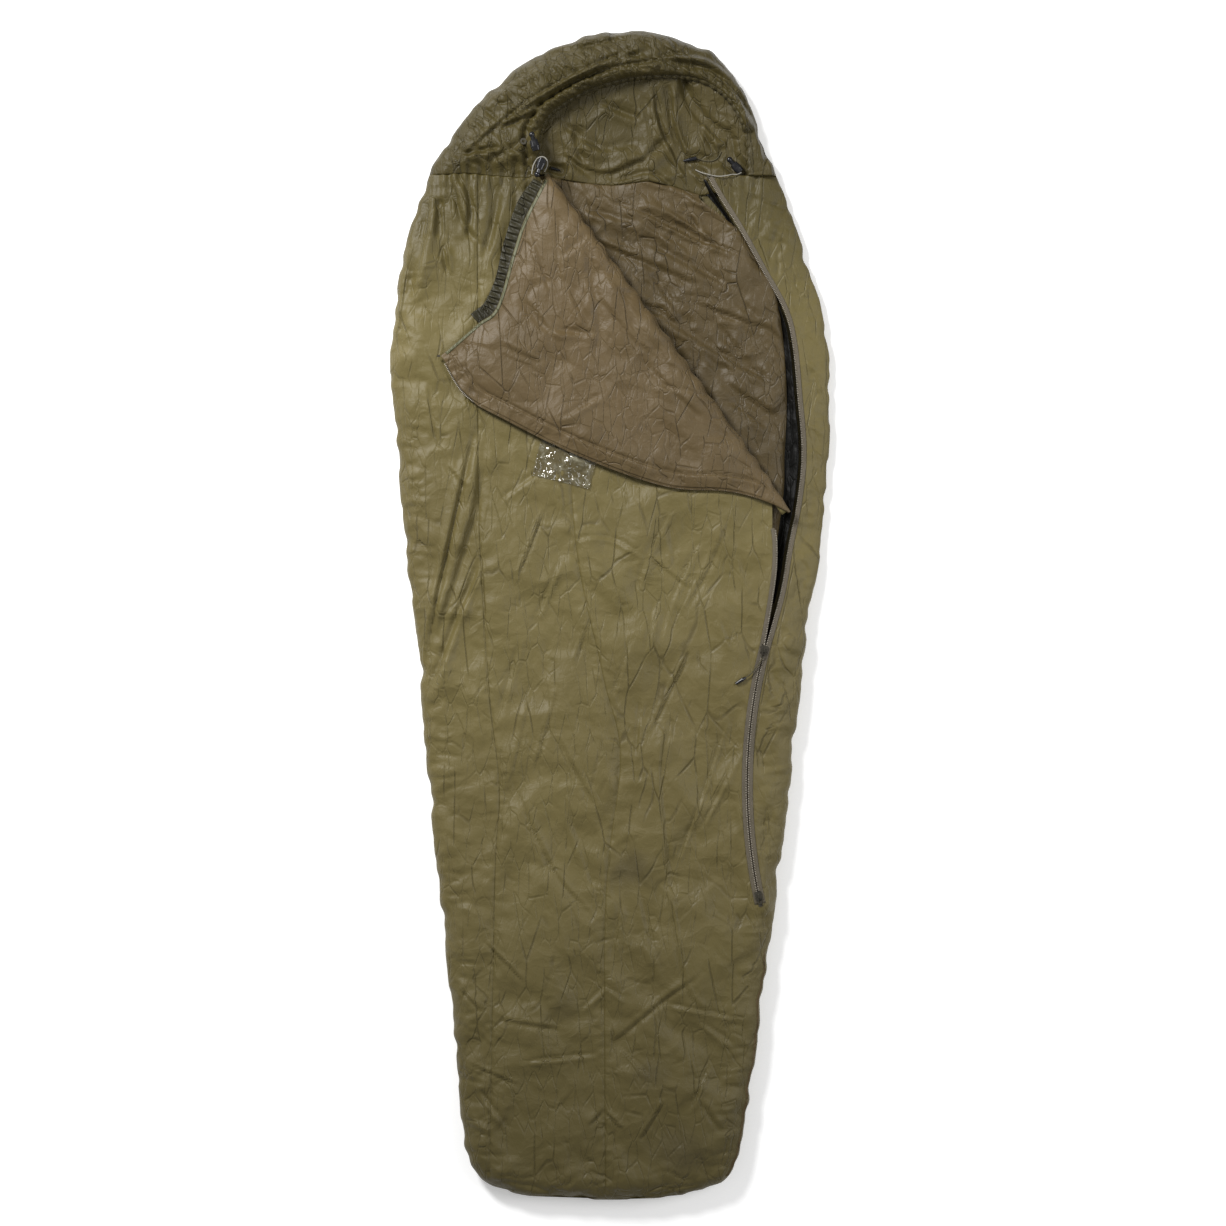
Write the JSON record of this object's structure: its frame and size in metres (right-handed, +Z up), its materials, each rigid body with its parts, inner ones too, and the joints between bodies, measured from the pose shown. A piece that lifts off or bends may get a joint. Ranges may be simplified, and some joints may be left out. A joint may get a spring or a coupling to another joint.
{
  "type": "bivy sack",
  "caption": "Mummy-shaped insulated bivy sack laid flat, with a hood, a side zip and the upper front folded back on a hinge.",
  "frame": {"origin": "under the middle of the outline, on the surface the sack lies on", "axes": "+Z up, +Y towards the hood, +X towards the zip side"},
  "size_m": [0.83, 2.2, 0.0913],
  "materials": {
    "shell_fabric": "downproof nylon with a soft sheen",
    "brim_fabric": "dark olive nylon",
    "lining_fabric": "brown olive nylon lining",
    "hood_lining_fabric": "olive nylon lining",
    "batting": "white polyester fill",
    "zip_tape": "woven tape",
    "zip_teeth": "coil teeth",
    "slider_metal": "black oxide metal",
    "dark_plastic": "black moulded plastic",
    "spring_steel": "spring wire",
    "grey_cord": "light grey braided cord",
    "olive_cord": "olive braided cord",
    "clear_film": "clear film",
    "binding": "light binding"
  },
  "bodies": {
    "bag": {"base_batting": "batting", "base_lining": "lining_fabric", "base_shell": "shell_fabric", "cord_eyelet": "slider_metal", "film_patch": "clear_film", "foot_batting": "batting", "foot_panel": "shell_fabric", "front_batting": "batting", "front_draft_tube": "lining_fabric", "front_left_panel": "shell_fabric", "front_lining": "lining_fabric", "front_middle_panel": "shell_fabric", "front_right_panel": "shell_fabric", "hood_batting": "batting", "hood_brim": "brim_fabric", "hood_cord_end": "dark_plastic", "hood_cord_tail": "olive_cord", "hood_drawcord": "olive_cord", "hood_lining": "hood_lining_fabric", "hood_lock_barrel": "dark_plastic", "hood_lock_spring": "spring_steel", "hood_panel": "shell_fabric", "left_side_batting": "batting", "neck_cord_end": "dark_plastic", "neck_cord_loop": "grey_cord", "neck_lock_barrel": "dark_plastic", "neck_lock_spring": "spring_steel", "neck_tie_cord": "grey_cord", "right_hip_batting": "batting", "right_lock_barrel": "dark_plastic", "right_lock_spring": "spring_steel", "right_side_batting": "batting", "right_side_panel": "shell_fabric", "right_wall_panel": "shell_fabric", "side_draft_tube": "lining_fabric", "zip_bottom_stop": "zip_teeth", "zip_tape_front": "zip_tape", "zip_tape_side": "zip_tape", "zip_teeth_front": "zip_teeth", "zip_teeth_side": "zip_teeth", "zip_top_stop": "zip_teeth"},
    "flap": {"flap_batting": "batting", "flap_binding": "binding", "flap_collar": "brim_fabric", "flap_facing": "lining_fabric", "flap_lining": "lining_fabric", "flap_shell": "shell_fabric", "flap_top_stop": "zip_teeth", "flap_zip_tape": "zip_tape", "flap_zip_teeth": "zip_teeth"},
    "upper_slider": {"upper_slider": "slider_metal"},
    "upper_pull": {"upper_pull_tab": "slider_metal", "upper_pull_cord": "olive_cord", "upper_pull_grip": "dark_plastic"},
    "lower_slider": {"lower_slider": "slider_metal"},
    "lower_pull": {"lower_pull_tab": "slider_metal"},
    "hood_lock_button": {"hood_lock_plunger": "dark_plastic"},
    "neck_lock_button": {"neck_lock_plunger": "dark_plastic"},
    "right_lock_button": {"right_lock_plunger": "dark_plastic"}
  },
  "joints": [
    {"name": "flap_fold", "type": "hinge", "parent": "bag", "child": "flap", "pos_m": [-0.11703, 0.825, 0.0603], "axis": [-0.5828, 0.8126, 0], "range_deg": [0, 180]},
    {"name": "upper_slider_travel", "type": "hinge", "parent": "bag", "child": "upper_slider", "pos_m": [1.2863, -0.3187, 0.0592], "axis": [0, 0, 1], "range_deg": [0, 12.51]},
    {"name": "upper_pull_swing", "type": "hinge", "parent": "upper_slider", "child": "upper_pull", "pos_m": [0.28758, -0.06578, 0.06375], "axis": [-0.9694, 0.2455, 0], "range_deg": [0, 165]},
    {"name": "lower_slider_travel", "type": "hinge", "parent": "bag", "child": "lower_slider", "pos_m": [1.2863, -0.3187, 0.0592], "axis": [0, 0, -1], "range_deg": [0, 8.06]},
    {"name": "lower_pull_swing", "type": "hinge", "parent": "lower_slider", "child": "lower_pull", "pos_m": [0.27707, -0.52575, 0.06375], "axis": [-0.9796, -0.201, 0], "range_deg": [0, 165]},
    {"name": "hood_lock_press", "type": "slide", "parent": "bag", "child": "hood_lock_button", "axis": [0.2756, -0.9613, 0], "range_m": [0, 0.005], "stiffness_N_per_m": 400, "springref_m": -0.003, "deforming": ["hood_lock_spring"]},
    {"name": "neck_lock_press", "type": "slide", "parent": "bag", "child": "neck_lock_button", "axis": [0.342, 0.9397, 0], "range_m": [0, 0.005], "stiffness_N_per_m": 400, "springref_m": -0.003, "deforming": ["neck_lock_spring"]},
    {"name": "right_lock_press", "type": "slide", "parent": "bag", "child": "right_lock_button", "axis": [0.6691, -0.7431, 0], "range_m": [0, 0.005], "stiffness_N_per_m": 400, "springref_m": -0.003, "deforming": ["right_lock_spring"]}
  ]
}
